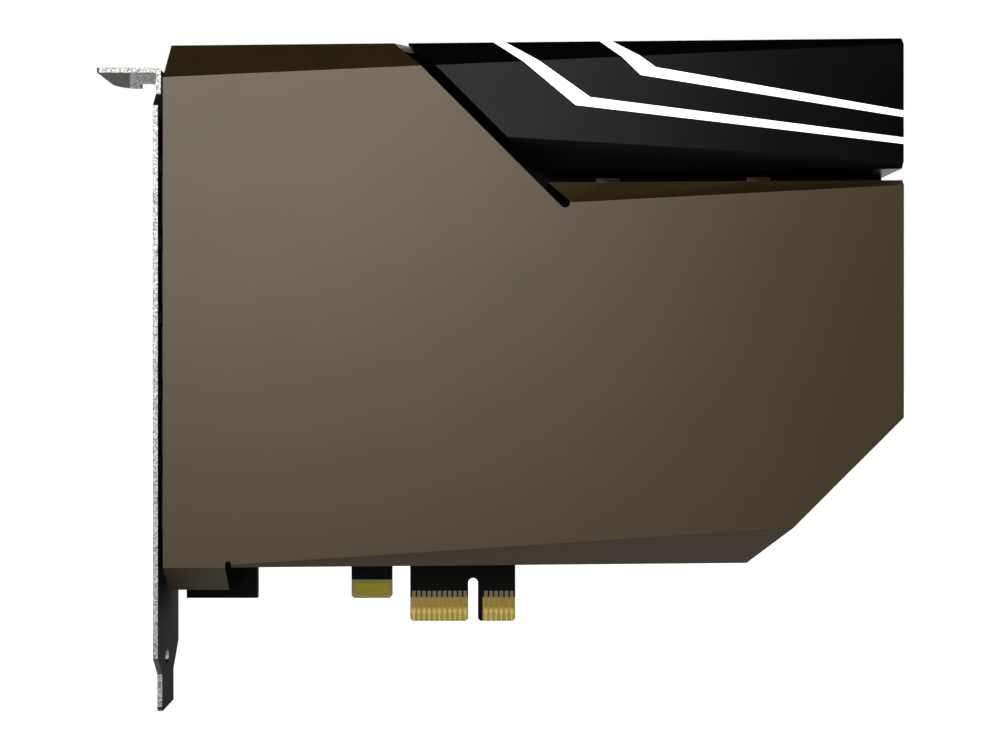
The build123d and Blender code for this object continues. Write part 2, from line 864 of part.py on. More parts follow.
with BuildPart() as electrolytic_capacitors:
    bank_x = cover_cut_x - electrolytic_pitch
    bank_z = recess_fold_z - electrolytic_pitch
    bank = GridLocations(electrolytic_pitch, electrolytic_pitch, electrolytic_columns, electrolytic_rows)
    for place in bank:
        electrolytic(bank_x + place.position.X, bank_z + place.position.Y)
save(electrolytic_capacitors, "electrolytic_capacitors")

with BuildPart() as film_capacitors:
    film_z = middle_z + film_rise
    with BuildSketch(facing_front(board_front)):
        with Locations(*package_column(analog_x, film_z, film_pitch, film_count)):
            Rectangle(film_length, film_width)
    extrude(amount=film_height)
    film_tops = film_capacitors.edges().group_by(Axis.Y)[0]
    chamfer(film_tops, length=film_edge)
save(film_capacitors, "film_capacitors")

with BuildPart() as relays:
    relay_z = middle_z - relay_drop
    relay_x = jack_back_x + part_gap + relay_length / 2
    with BuildSketch(facing_front(board_front)):
        with Locations(*package_column(relay_x, relay_z, relay_pitch, relay_count)):
            Rectangle(relay_length, relay_width)
    extrude(amount=relay_height)
save(relays, "relays")

with BuildPart() as crystal:
    crystal_z = middle_z - processor_size / 2 - crystal_width / 2 - part_gap
    with BuildSketch(facing_front(board_front)):
        with Locations((processor_x, crystal_z)):
            SlotOverall(crystal_length, crystal_width)
    extrude(amount=crystal_height)
save(crystal, "crystal")

with BuildPart() as chokes:
    choke_places = package_column(power_x + choke_pitch, middle_z + choke_pitch, choke_pitch, choke_count)
    for flange_y in (board_front, board_front - choke_height + choke_flange):
        with BuildSketch(facing_front(flange_y)) as flange:
            with Locations(*choke_places):
                Rectangle(choke_size, choke_size)
            chamfer(flange.vertices(), length=choke_corner)
        extrude(amount=choke_flange)
    with BuildSketch(facing_front(board_front - choke_flange)):
        with Locations(*choke_places):
            Circle(choke_winding_radius)
    extrude(amount=choke_height - 2 * choke_flange)
save(chokes, "chokes")

with BuildPart() as small_parts:
    field_z = crystal_z - crystal_width / 2 - small_part_pitch * small_part_rows / 2
    with BuildSketch(facing_front(board_front)):
        with Locations((processor_x, field_z)):
            with GridLocations(small_part_pitch, small_part_pitch, small_part_columns, small_part_rows):
                Rectangle(small_part_length, small_part_width)
    extrude(amount=small_part_height)
save(small_parts, "small_parts")


def emitter_places(inner_elbow, outer_elbow, end):
    """Places on the board under the long arm of a light bar."""
    elbow_x = card_right_x - (inner_elbow[0] + outer_elbow[0]) / 2
    elbow_z = card_top_z - (inner_elbow[1] + outer_elbow[1]) / 2
    end_z = card_top_z - (end[0] + end[1]) / 2
    first_x = elbow_x + emitter_from_elbow
    steps = [first_x + emitter_pitch * index for index in range(emitter_count)]
    return [fold_point((elbow_x, elbow_z), (card_right_x, end_z), x) for x in steps]


with BuildPart() as light_emitters:
    lower_row = emitter_places(lower_bar_inner_elbow, lower_bar_outer_elbow, lower_bar_end)
    upper_row = emitter_places(upper_bar_inner_elbow, upper_bar_outer_elbow, upper_bar_end)
    with BuildSketch(facing_front(board_front)):
        with Locations(*lower_row, *upper_row):
            Rectangle(emitter_length, emitter_width)
    extrude(amount=emitter_height)
save(light_emitters, "light_emitters")
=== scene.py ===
"""Finish of a sound card for a one-lane slot, dressed around its solid model.

The file is laid out as an add-on and run as a script.  Lengths are metres unless a name
ends in mm, +Z is up, +X runs away from the bracket and -Y faces the camera.
"""
import random
from math import cos, pi, radians, sin

import bmesh
import bpy
from bpy.props import FloatProperty, FloatVectorProperty, PointerProperty
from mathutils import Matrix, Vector


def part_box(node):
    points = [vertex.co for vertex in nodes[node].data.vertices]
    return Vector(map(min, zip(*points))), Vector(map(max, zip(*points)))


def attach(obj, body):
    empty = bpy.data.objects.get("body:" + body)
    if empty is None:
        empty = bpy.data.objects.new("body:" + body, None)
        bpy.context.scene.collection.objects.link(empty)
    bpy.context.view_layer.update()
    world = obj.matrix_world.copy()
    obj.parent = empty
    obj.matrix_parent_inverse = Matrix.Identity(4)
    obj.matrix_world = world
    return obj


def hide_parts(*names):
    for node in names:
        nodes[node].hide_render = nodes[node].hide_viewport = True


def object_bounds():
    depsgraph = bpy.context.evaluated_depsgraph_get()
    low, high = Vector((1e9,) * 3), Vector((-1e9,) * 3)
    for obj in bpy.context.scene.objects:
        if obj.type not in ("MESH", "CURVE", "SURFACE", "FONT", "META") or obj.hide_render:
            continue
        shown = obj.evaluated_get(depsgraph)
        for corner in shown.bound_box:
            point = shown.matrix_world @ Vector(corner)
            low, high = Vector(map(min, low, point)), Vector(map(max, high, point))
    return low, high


bl_info = {
    "name": "Sound Card Finish",
    "version": (1, 0, 0),
    "blender": (4, 5, 0),
    "location": "View3D > Sidebar > Sound Card",
    "description": "Finishes, solder work and studio for a one-lane sound card",
    "category": "Object",
}

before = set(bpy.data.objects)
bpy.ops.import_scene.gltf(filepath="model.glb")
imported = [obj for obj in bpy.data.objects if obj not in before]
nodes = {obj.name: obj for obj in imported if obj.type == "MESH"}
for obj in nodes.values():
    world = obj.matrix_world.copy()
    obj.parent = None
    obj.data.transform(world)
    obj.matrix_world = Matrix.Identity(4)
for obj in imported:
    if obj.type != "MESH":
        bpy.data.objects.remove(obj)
cad_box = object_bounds()

BODY = "root"
MM = 0.001
TURN = 2 * pi
FLAT_ANGLE = radians(0.5)
SHARP_ANGLE = radians(28)
JACKS = range(1, 6)
WHITE = (1.0, 1.0, 1.0, 1.0)


def shade(red, green, blue):
    """Linear colour of a display colour given in steps of 0 to 255."""
    channels = []
    for step in (red, green, blue):
        share = step / 255
        channels.append(share / 12.92 if share <= 0.04045 else ((share + 0.055) / 1.055) ** 2.4)
    return (*channels, 1.0)


def colour_property(name, description, steps):
    """Colour setting with its default given in display steps."""
    return FloatVectorProperty(
        name=name, description=description, subtype="COLOR", size=4, min=0.0, max=1.0, default=shade(*steps)
    )


def length_property(name, description, default):
    """Length setting in metres."""
    return FloatProperty(
        name=name, description=description, default=default, min=0.0, unit="LENGTH", precision=5
    )


def power_property(name, description, default):
    """Lamp power setting in watts."""
    return FloatProperty(name=name, description=description, default=default, min=0.0, unit="POWER")


class CardFinish(bpy.types.PropertyGroup):
    """Colours of the card's finishes."""

    bronze: colour_property("Bronze", "Lacquered sheet of the cover", (66, 50, 6))
    panel: colour_property("Panel", "Moulded black of the corner panel", (3, 3, 3))
    bar: colour_property("Light bar", "Frosted plastic of the light bars", (250, 250, 250))
    mask: colour_property("Solder mask", "Lacquer on the circuit board", (9, 8, 7))
    laminate: colour_property("Laminate", "Bare board round the contacts", (158, 138, 66))
    gold: colour_property("Gold", "Plating of contacts and jacks", (180, 155, 78))
    coat: colour_property("Bracket coat", "Dark coat on the bracket's faces", (19, 19, 18))
    steel: colour_property("Steel", "Bare steel of cut edges and screws", (216, 215, 210))
    tin: colour_property("Solder", "Solder joints on the back", (188, 190, 194))


class CardDetail(bpy.types.PropertyGroup):
    """Sizes of the fine detail."""

    fold_radius: length_property("Fold radius", "Rounding of the cover's folds", 0.05 * MM)
    moulded_radius: length_property("Moulded radius", "Rounding of moulded and turned edges", 0.15 * MM)
    stamped_radius: length_property("Stamped radius", "Rounding of the bracket's edges", 0.08 * MM)
    trace_width: length_property("Trace width", "Width of the board's traces", 0.25 * MM)
    trace_pitch: length_property("Trace pitch", "Distance between neighbouring traces", 0.6 * MM)
    trace_height: length_property("Trace height", "Rise of a trace above the board", 0.04 * MM)
    joint_radius: length_property("Joint radius", "Foot of a solder joint", 0.95 * MM)
    joint_height: length_property("Joint height", "Rise of a solder joint", 1.1 * MM)


class CardStage(bpy.types.PropertyGroup):
    """Camera, lamps and floor."""

    camera_place: FloatVectorProperty(
        name="Camera place", description="Where the camera stands", subtype="TRANSLATION", unit="LENGTH",
        default=(1.35 * MM, -282.3 * MM, 49.73 * MM),
    )
    lens: FloatProperty(
        name="Lens", description="Focal length in millimetres", default=52.21, min=1.0, unit="CAMERA"
    )
    shift_x: FloatProperty(name="Shift X", description="Sideways frame shift", default=0.02)
    shift_y: FloatProperty(name="Shift Y", description="Upward frame shift", default=-0.01)
    key_power: power_property("Key power", "Soft lamp at the upper left", 3.1)
    back_power: power_property("Back power", "Soft lamp behind the card", 2.6)
    side_power: power_property("Side power", "Soft lamps at both ends", 2.2)
    room: FloatProperty(
        name="Room", description="Level of the dim room", default=0.25, min=0.0, max=1.0, subtype="FACTOR"
    )


def join(tree, socket, value):
    """Link a socket to another socket, or give it a plain value."""
    if isinstance(value, bpy.types.NodeSocket):
        tree.links.new(value, socket)
    else:
        socket.default_value = value


def add_node(tree, kind, inputs=None, **attributes):
    """Add a node, set its attributes and fill its inputs by name or number."""
    node = tree.nodes.new(kind)
    for name, value in attributes.items():
        setattr(node, name, value)
    for name, value in (inputs or {}).items():
        join(tree, node.inputs[name], value)
    return node


def calculate(tree, operation, first, second=0.0):
    """Output of a Math node."""
    return add_node(tree, "ShaderNodeMath", {0: first, 1: second}, operation=operation).outputs[0]


def mix_colours(tree, factor, first, second):
    """Output of a colour Mix node."""
    inputs = {"Factor": factor, 6: first, 7: second}
    return add_node(tree, "ShaderNodeMix", inputs, data_type="RGBA").outputs[2]


def remap(tree, value, low, high, to_low=0.0, to_high=1.0):
    """Output of a clamped Map Range node."""
    inputs = {"Value": value, "From Min": low, "From Max": high, "To Min": to_low, "To Max": to_high}
    return add_node(tree, "ShaderNodeMapRange", inputs).outputs[0]


def place_in_mm(tree):
    """Place of the shaded point in the card's frame, in millimetres."""
    coordinates = add_node(tree, "ShaderNodeTexCoord")
    inputs = {0: coordinates.outputs["Object"], "Scale": 1 / MM}
    return add_node(tree, "ShaderNodeVectorMath", inputs, operation="SCALE").outputs[0]


def new_group(name, inputs, outputs):
    """Shader node group with named sockets; returns it with its inner ends."""
    group = bpy.data.node_groups.new(name, "ShaderNodeTree")
    for label, kind, value in inputs:
        group.interface.new_socket(label, in_out="INPUT", socket_type=kind).default_value = value
    for label, kind in outputs:
        group.interface.new_socket(label, in_out="OUTPUT", socket_type=kind)
    source = group.nodes.new("NodeGroupInput")
    sink = group.nodes.new("NodeGroupOutput")
    return group, source.outputs, sink.inputs


def grain_group():
    """Fine random grain of a given size in millimetres."""
    group, given, result = new_group(
        "Fine Grain", [("Size", "NodeSocketFloat", 0.2)], [("Value", "NodeSocketFloat")]
    )
    scale = calculate(group, "DIVIDE", 1.0, given["Size"])
    inputs = {"Vector": place_in_mm(group), "Scale": scale, "Detail": 2.0}
    noise = add_node(group, "ShaderNodeTexNoise", inputs)
    join(group, result["Value"], remap(group, noise.outputs["Fac"], 0.25, 0.75))
    return group


def drift_group():
    """Slow drift between two values over a surface, its size in millimetres."""
    group, given, result = new_group(
        "Slow Drift",
        [
            ("Size", "NodeSocketFloat", 20.0),
            ("Low", "NodeSocketFloat", 0.0),
            ("High", "NodeSocketFloat", 1.0),
        ],
        [("Value", "NodeSocketFloat")],
    )
    scale = calculate(group, "DIVIDE", 1.0, given["Size"])
    inputs = {"Vector": place_in_mm(group), "Scale": scale, "Detail": 3.0}
    noise = add_node(group, "ShaderNodeTexNoise", inputs)
    join(group, result["Value"], remap(group, noise.outputs["Fac"], 0.3, 0.7, given["Low"], given["High"]))
    return group


def speckle_group():
    """Sharp light and dark specks, as on sheared metal, their size in millimetres."""
    group, given, result = new_group(
        "Sheared Specks",
        [
            ("Size", "NodeSocketFloat", 0.2),
            ("Dark", "NodeSocketColor", WHITE),
            ("Light", "NodeSocketColor", WHITE),
        ],
        [("Color", "NodeSocketColor"), ("Value", "NodeSocketFloat")],
    )
    scale = calculate(group, "DIVIDE", 1.0, given["Size"])
    cells = add_node(group, "ShaderNodeTexVoronoi", {"Vector": place_in_mm(group), "Scale": scale})
    channels = add_node(group, "ShaderNodeSeparateColor", {0: cells.outputs["Color"]})
    join(group, result["Color"], mix_colours(group, channels.outputs[0], given["Dark"], given["Light"]))
    join(group, result["Value"], channels.outputs[0])
    return group


def streak_group():
    """Fine streaks; a greater stretch sets them closer together along that axis."""
    group, given, result = new_group(
        "Drawn Streaks", [("Stretch", "NodeSocketVector", (1.0, 1.0, 1.0))], [("Value", "NodeSocketFloat")]
    )
    inputs = {0: place_in_mm(group), 1: given["Stretch"]}
    stretched = add_node(group, "ShaderNodeVectorMath", inputs, operation="MULTIPLY")
    inputs = {"Vector": stretched.outputs[0], "Scale": 1.0, "Detail": 3.0}
    noise = add_node(group, "ShaderNodeTexNoise", inputs)
    join(group, result["Value"], remap(group, noise.outputs["Fac"], 0.3, 0.7))
    return group


def facing_group():
    """Mask of the faces that look along a direction."""
    group, given, result = new_group(
        "Facing",
        [("Direction", "NodeSocketVector", (0.0, 0.0, 1.0)), ("Limit", "NodeSocketFloat", 0.9)],
        [("Mask", "NodeSocketFloat")],
    )
    geometry = add_node(group, "ShaderNodeNewGeometry")
    inputs = {0: geometry.outputs["True Normal"], 1: given["Direction"]}
    cosine = add_node(group, "ShaderNodeVectorMath", inputs, operation="DOT_PRODUCT").outputs["Value"]
    join(group, result["Mask"], calculate(group, "GREATER_THAN", cosine, given["Limit"]))
    return group


def window_group():
    """Mask of an upright box in the card's frame, given by its sides in millimetres."""
    group, given, result = new_group(
        "Window",
        [
            ("Left", "NodeSocketFloat", 0.0),
            ("Right", "NodeSocketFloat", 1.0),
            ("Bottom", "NodeSocketFloat", 0.0),
            ("Top", "NodeSocketFloat", 1.0),
        ],
        [("Mask", "NodeSocketFloat")],
    )
    place = add_node(group, "ShaderNodeSeparateXYZ", {0: place_in_mm(group)})
    inside = 1.0
    for axis, side, test in (
        ("X", "Left", "GREATER_THAN"),
        ("X", "Right", "LESS_THAN"),
        ("Z", "Bottom", "GREATER_THAN"),
        ("Z", "Top", "LESS_THAN"),
    ):
        within = calculate(group, test, place.outputs[axis], given[side])
        inside = calculate(group, "MULTIPLY", inside, within)
    join(group, result["Mask"], inside)
    return group


EFFECTS = {
    "Fine Grain": grain_group,
    "Slow Drift": drift_group,
    "Sheared Specks": speckle_group,
    "Drawn Streaks": streak_group,
    "Facing": facing_group,
    "Window": window_group,
}


def effect(tree, name, **inputs):
    """Place a shared effect in a material and return its outputs."""
    group = bpy.data.node_groups.get(name) or EFFECTS[name]()
    node = add_node(tree, "ShaderNodeGroup", node_tree=group)
    for label, value in inputs.items():
        join(tree, node.inputs[label], value)
    return node.outputs


def new_material(name):
    """Material with an empty Principled shader; returns it, its tree and the shader."""
    material = bpy.data.materials.new(name)
    material.use_nodes = True
    tree = material.node_tree
    return material, tree, tree.nodes["Principled BSDF"]


def set_shader(tree, shader, **inputs):
    """Fill the shader's inputs; underscores stand for spaces."""
    for label, value in inputs.items():
        join(tree, shader.inputs[label.replace("_", " ")], value)


def bump(tree, height, distance_mm):
    """Normal raised by a height value."""
    inputs = {"Height": height, "Distance": distance_mm * MM, "Strength": 1.0}
    return add_node(tree, "ShaderNodeBump", inputs).outputs[0]


def tinted(tree, colour, size_mm, spread):
    """Colour that drifts lighter and darker by the given share."""
    light = effect(tree, "Slow Drift", Size=size_mm, Low=1.0 - spread, High=1.0 + spread)["Value"]
    inputs = {0: tuple(colour[:3]), "Scale": light}
    return add_node(tree, "ShaderNodeVectorMath", inputs, operation="SCALE").outputs[0]


def bronze_material(finish):
    """Lacquered bronze sheet, bare on its cut tongue, with painted shade on the walls inside the relief
    notch.
    """
    relief_left_mm, relief_right_mm = 11.46, 12.54
    relief_drop_mm, relief_rise_mm = 1.0, 6.0
    material, tree, shader = new_material("bronze_sheet")
    sheet = tinted(tree, finish.bronze, 45.0, 0.04)
    dark, light = shade(110, 110, 108), shade(205, 204, 200)
    specks = effect(tree, "Sheared Specks", Size=0.25, Dark=dark, Light=light)
    cut = effect(tree, "Facing", Direction=(0.7071, -0.7071, 0.0), Limit=0.95)["Mask"]
    left_mm, bottom_mm = (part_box("main_cover")[0][axis] / MM for axis in (0, 2))
    # Painted shade: the walls inside the relief notch, not the front face, are painted near black and lose
    # their metal and coat.
    notch_shade = effect(
        tree, "Window", Left=left_mm + relief_left_mm, Right=left_mm + relief_right_mm,
        Bottom=bottom_mm - relief_drop_mm, Top=bottom_mm + relief_rise_mm,
    )["Mask"]
    face = effect(tree, "Facing", Direction=(0.0, -1.0, 0.0), Limit=0.9)["Mask"]
    notch_shade = calculate(tree, "MULTIPLY", notch_shade, calculate(tree, "SUBTRACT", 1.0, face))
    outside_notch_shade = calculate(tree, "SUBTRACT", 1.0, notch_shade)
    # The notch's near-black shade(18, 16, 12) is painted shade.
    colour = mix_colours(tree, notch_shade, mix_colours(tree, cut, sheet, specks["Color"]), shade(18, 16, 12))
    grain = effect(tree, "Fine Grain", Size=0.12)["Value"]
    rough = effect(tree, "Slow Drift", Size=12.0, Low=0.62, High=0.66)["Value"]
    set_shader(
        tree, shader, Base_Color=colour, Roughness=rough, Metallic=outside_notch_shade, Specular_IOR_Level=0.0,
        Coat_Weight=outside_notch_shade, Coat_Roughness=0.42, Normal=bump(tree, grain, 0.004),
    )
    return material


def fold_material():
    """Rounded fold edges with a painted highlight where they look up and painted shade where they look
    down.
    """
    material, tree, shader = new_material("bronze_fold")
    grain = effect(tree, "Fine Grain", Size=0.12)["Value"]
    rough = effect(tree, "Slow Drift", Size=5.0, Low=0.5, High=0.6)["Value"]
    front_and_up = (0.1, -0.9, 0.4)
    # Painted highlight: fold edges facing up and to the front get a lighter bronze with coat; painted
    # shade: the rest get near-black shade(34, 26, 6) without coat.
    painted_highlight = effect(tree, "Facing", Direction=front_and_up, Limit=0.78)["Mask"]
    colour = mix_colours(tree, painted_highlight, shade(34, 26, 6), tinted(tree, shade(78, 68, 42), 8.0, 0.12))
    set_shader(
        tree, shader, Base_Color=colour, Roughness=rough, Metallic=1.0, Coat_Weight=painted_highlight,
        Coat_Roughness=0.42, Normal=bump(tree, grain, 0.003),
    )
    return material


def panel_material(finish):
    """Satin moulded plastic with a spark-eroded grain."""
    material, tree, shader = new_material("black_panel")
    grain = effect(tree, "Fine Grain", Size=0.16)["Value"]
    rough = effect(tree, "Slow Drift", Size=15.0, Low=0.28, High=0.32)["Value"]
    set_shader(
        tree, shader, Base_Color=tinted(tree, finish.panel, 30.0, 0.15), Roughness=rough,
        Specular_IOR_Level=0.11, Normal=bump(tree, grain, 0.003),
    )
    return material


def bar_material(finish):
    """Frosted plastic lit from the emitters under it."""
    material, tree, shader = new_material("light_bar")
    glow = tinted(tree, WHITE, 9.0, 0.02)
    grain = effect(tree, "Fine Grain", Size=0.2)["Value"]
    set_shader(
        tree, shader, Base_Color=tinted(tree, finish.bar, 6.0, 0.03), Roughness=0.5, Emission_Color=glow,
        Emission_Strength=0.85, Normal=bump(tree, grain, 0.004),
    )
    return material


def gold_material(finish):
    """Plated gold: wiped bright where springs rub, and duller and greyer above the mask's edge."""
    wiped_top_mm, wiped_full_mm = 2.9, 2.1
    grey_low_mm, grey_full_mm = 4.66, 4.74
    material, tree, shader = new_material("gold")
    streaks = effect(tree, "Drawn Streaks", Stretch=(7.0, 7.0, 0.5))["Value"]
    height = add_node(tree, "ShaderNodeSeparateXYZ", {0: place_in_mm(tree)}).outputs["Z"]
    wiped = remap(tree, height, wiped_top_mm, wiped_full_mm)
    # Above about 4.7 mm the gold turns a duller grey shade(136, 125, 104).
    grey_upper = remap(tree, height, grey_low_mm, grey_full_mm)
    colour = mix_colours(tree, wiped, tinted(tree, finish.gold, 2.0, 0.08), shade(252, 230, 128))
    colour = mix_colours(tree, grey_upper, colour, shade(136, 125, 104))
    set_shader(
        tree, shader, Base_Color=colour, Metallic=1.0, Roughness=remap(tree, streaks, 0.0, 1.0, 0.16, 0.24),
        Normal=bump(tree, streaks, 0.002),
    )
    return material


def ground_material():
    """Thin flash of gold on the ground pads, greener than the contacts."""
    material, tree, shader = new_material("gold_flash")
    streaks = effect(tree, "Drawn Streaks", Stretch=(0.6, 6.0, 5.0))["Value"]
    set_shader(
        tree, shader, Base_Color=tinted(tree, shade(161, 149, 49), 3.0, 0.06), Metallic=1.0,
        Roughness=remap(tree, streaks, 0.0, 1.0, 0.17, 0.23), Normal=bump(tree, streaks, 0.002),
    )
    return material


def bracket_material(finish):
    """Dark coated steel sheet with bare speckled metal on its sheared edges and under its tab's far part,
    painted light on its underside and slopes, and painted shade at its edges' ends.
    """
    cover_gap_mm = 0.5
    # Painted shade: cut edges within these distances of the tab's end and of the tip keep the dark coat
    # colour.
    shaded_end_mm = 0.35
    shaded_tip_mm = 0.9
    far_underside_from_end_mm = 3.1
    far_underside_slant = 0.24
    far_mm = 1000.0
    material, tree, shader = new_material("steel")
    box_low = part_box("io_bracket")[0]
    blade_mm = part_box("main_cover")[0].x / MM - cover_gap_mm
    end_mm = box_low.x / MM
    tip_mm = box_low.z / MM + shaded_tip_mm
    specks = effect(tree, "Sheared Specks", Size=0.2, Dark=shade(92, 92, 90), Light=tuple(finish.steel))
    front = effect(tree, "Facing", Direction=(0.0, -1.0, 0.0), Limit=0.8)["Mask"]
    back = effect(tree, "Facing", Direction=(0.0, 1.0, 0.0), Limit=0.8)["Mask"]
    under = effect(tree, "Facing", Direction=(0.0, 0.0, -1.0), Limit=0.9)["Mask"]
    outer = effect(tree, "Facing", Direction=(-1.0, 0.0, 0.0), Limit=0.9)["Mask"]
    # Cut edges show bare steel only inside this window; at the tab's end and the tip they keep painted
    # shade.
    edges = effect(
        tree, "Window", Left=end_mm + shaded_end_mm, Right=blade_mm, Bottom=tip_mm, Top=far_mm
    )["Mask"]
    # Past a slanted line 3.1 mm from the tab's end, the underside is bright speckled bare metal.
    inputs = {0: place_in_mm(tree), 1: (1.0, far_underside_slant, 0.0)}
    across = add_node(tree, "ShaderNodeVectorMath", inputs, operation="DOT_PRODUCT")
    far_underside = calculate(tree, "GREATER_THAN", across.outputs["Value"], end_mm + far_underside_from_end_mm)
    bare = calculate(tree, "MULTIPLY", calculate(tree, "MAXIMUM", front, back), edges)
    far_underside = calculate(tree, "MULTIPLY", under, far_underside)
    streaks = effect(tree, "Drawn Streaks", Stretch=(0.5, 3.5, 1.0))["Value"]
    # Painted light: the coat's underside gets a lighter streaked grey, and its down-facing slopes a lighter
    # plain grey shade(92, 92, 91).
    lit_underside = mix_colours(tree, streaks, shade(84, 84, 84), shade(150, 150, 149))
    lit_slope = effect(tree, "Facing", Direction=(0.0, -0.7071, -0.7071), Limit=0.9)["Mask"]
    coat = mix_colours(tree, lit_slope, tinted(tree, finish.coat, 10.0, 0.12), shade(92, 92, 91))
    coat = mix_colours(tree, under, coat, lit_underside)
    far_underside_specks = effect(tree, "Sheared Specks", Size=0.3, Dark=shade(104, 104, 103), Light=WHITE)
    specks_colour = mix_colours(tree, far_underside, specks["Color"], far_underside_specks["Color"])
    metal = calculate(tree, "MAXIMUM", bare, far_underside)
    grain = effect(tree, "Fine Grain", Size=0.15)["Value"]
    height = calculate(tree, "ADD", grain, calculate(tree, "MULTIPLY", specks["Value"], metal))
    set_shader(
        tree, shader, Base_Color=mix_colours(tree, metal, coat, specks_colour), Metallic=metal,
        Roughness=remap(tree, metal, 0.0, 1.0, 0.6, 0.55), Specular_IOR_Level=0.04,
        Coat_Weight=calculate(tree, "MULTIPLY", outer, 0.6), Coat_Roughness=0.34,
        Normal=bump(tree, height, 0.006),
    )
    return material


def board_material(finish):
    """Black solder mask, bare laminate at the edge windows and woven laminate on the rim."""
    edge_low_mm, edge_top_mm = -1.0, 4.7
    ground_low_mm, ground_top_mm = 4.0, 8.08
    greyer_low_mm, greyer_full_mm = 4.4, 4.5
    windows_mm = [
        (-12.3, -0.93, edge_low_mm, edge_top_mm),
        (1.86, 8.4, edge_low_mm, edge_top_mm),
        (-24.0, -15.0, ground_low_mm, ground_top_mm),
    ]
    material, tree, shader = new_material("board")
    bare = 0.0
    for left, right, bottom, top in windows_mm:
        window = effect(tree, "Window", Left=left, Right=right, Bottom=bottom, Top=top)["Mask"]
        bare = calculate(tree, "MAXIMUM", bare, window)
    front = effect(tree, "Facing", Direction=(0.0, -1.0, 0.0), Limit=0.5)["Mask"]
    back = effect(tree, "Facing", Direction=(0.0, 1.0, 0.0), Limit=0.5)["Mask"]
    face = calculate(tree, "MAXIMUM", front, back)
    fibres = effect(tree, "Drawn Streaks", Stretch=(0.4, 22.0, 0.4))["Value"]
    rim = mix_colours(tree, fibres, shade(14, 12, 10), shade(30, 26, 20))
    mask = tinted(tree, finish.mask, 25.0, 0.12)
    weave = effect(tree, "Fine Grain", Size=0.5)["Value"]
    height = add_node(tree, "ShaderNodeSeparateXYZ", {0: place_in_mm(tree)}).outputs["Z"]
    laminate = tinted(tree, finish.laminate, 1.2, 0.1)
    # Above about 4.4 mm the bare laminate turns a greyer olive shade(142, 133, 92).
    greyer_laminate = remap(tree, height, greyer_low_mm, greyer_full_mm)
    laminate = mix_colours(tree, greyer_laminate, laminate, shade(142, 133, 92))
    surface = mix_colours(tree, bare, mask, laminate)
    rough = effect(tree, "Slow Drift", Size=8.0, Low=0.34, High=0.42)["Value"]
    rough = calculate(tree, "ADD", rough, calculate(tree, "MULTIPLY", bare, 0.1))
    set_shader(
        tree, shader, Base_Color=mix_colours(tree, face, rim, surface), Roughness=rough,
        Specular_IOR_Level=0.05, Coat_Weight=calculate(tree, "MULTIPLY", back, 0.7), Coat_Roughness=0.28,
        Normal=bump(tree, weave, 0.004),
    )
    return material


def plain_material(name, colour, roughness, grain_mm, metallic=0.0, spread=0.08, height_mm=0.006):
    """Finish with a drifting colour, uneven gloss and fine grain."""
    gloss_spread = 0.05
    material, tree, shader = new_material(name)
    grain = effect(tree, "Fine Grain", Size=grain_mm)["Value"]
    low, high = roughness - gloss_spread, roughness + gloss_spread
    rough = effect(tree, "Slow Drift", Size=6.0, Low=low, High=high)["Value"]
    set_shader(
        tree, shader, Base_Color=tinted(tree, colour, 5.0, spread), Metallic=metallic, Roughness=rough,
        Normal=bump(tree, grain, height_mm),
    )
    return material


def turned_material(name, colour, axis_stretch, roughness):
    """Turned metal with fine rings."""
    gloss_spread = 0.06
    material, tree, shader = new_material(name)
    rings = effect(tree, "Drawn Streaks", Stretch=axis_stretch)["Value"]
    rough = remap(tree, rings, 0.0, 1.0, roughness - gloss_spread, roughness + gloss_spread)
    set_shader(
        tree, shader, Base_Color=tinted(tree, colour, 4.0, 0.06), Metallic=1.0, Roughness=rough,
        Normal=bump(tree, rings, 0.006),
    )
    return material


def dress(names, material):
    """Give CAD nodes a material."""
    for name in names:
        nodes[name].material_slots[0].material = material


def soften(names, radius, edge_material=None, clamped=True):
    """Weld the facets of CAD nodes and round their sharp edges, in a material of their own where given.

    Clamped rounding shrinks to fit the shortest edges, and unclamped rounding keeps its radius.
    """
    for name in names:
        weld = nodes[name].modifiers.new("Weld", "WELD")
        weld.merge_threshold = 0.01 * MM
        flats = nodes[name].modifiers.new("Whole flats", "DECIMATE")
        flats.decimate_type = "DISSOLVE"
        flats.angle_limit = FLAT_ANGLE
        edges = nodes[name].modifiers.new("Rounded edges", "BEVEL")
        edges.width = radius
        edges.segments = 2
        edges.limit_method = "ANGLE"
        edges.angle_limit = SHARP_ANGLE
        edges.harden_normals = True
        edges.loop_slide = False
        edges.use_clamp_overlap = clamped
        if edge_material:
            nodes[name].data.materials.append(edge_material)
            edges.material = 1


def solid_boxes(name):
    """Lowest and highest corner of each separate solid in a CAD node."""
    mesh = nodes[name].data
    keys = [tuple(round(value, 6) for value in vertex.co) for vertex in mesh.vertices]
    parent = {key: key for key in keys}

    def root(key):
        while parent[key] != key:
            parent[key] = parent[parent[key]]
            key = parent[key]
        return key

    for polygon in mesh.polygons:
        first = root(keys[polygon.vertices[0]])
        for index in polygon.vertices[1:]:
            parent[root(keys[index])] = first
    groups = {}
    for key in parent:
        groups.setdefault(root(key), []).append(Vector(key))
    boxes = []
    for points in groups.values():
        low = Vector([min(point[axis] for point in points) for axis in range(3)])
        high = Vector([max(point[axis] for point in points) for axis in range(3)])
        boxes.append((low, high))
    return sorted(boxes, key=lambda box: tuple(box[0]))


def new_piece(name, shape, material):
    """Turn a bmesh into a piece that rides on the card."""
    bmesh.ops.recalc_face_normals(shape, faces=shape.faces)
    mesh = bpy.data.meshes.new(name)
    shape.to_mesh(mesh)
    shape.free()
    mesh.materials.append(material)
    piece = bpy.data.objects.new(name, mesh)
    bpy.context.scene.collection.objects.link(piece)
    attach(piece, BODY)
    return piece


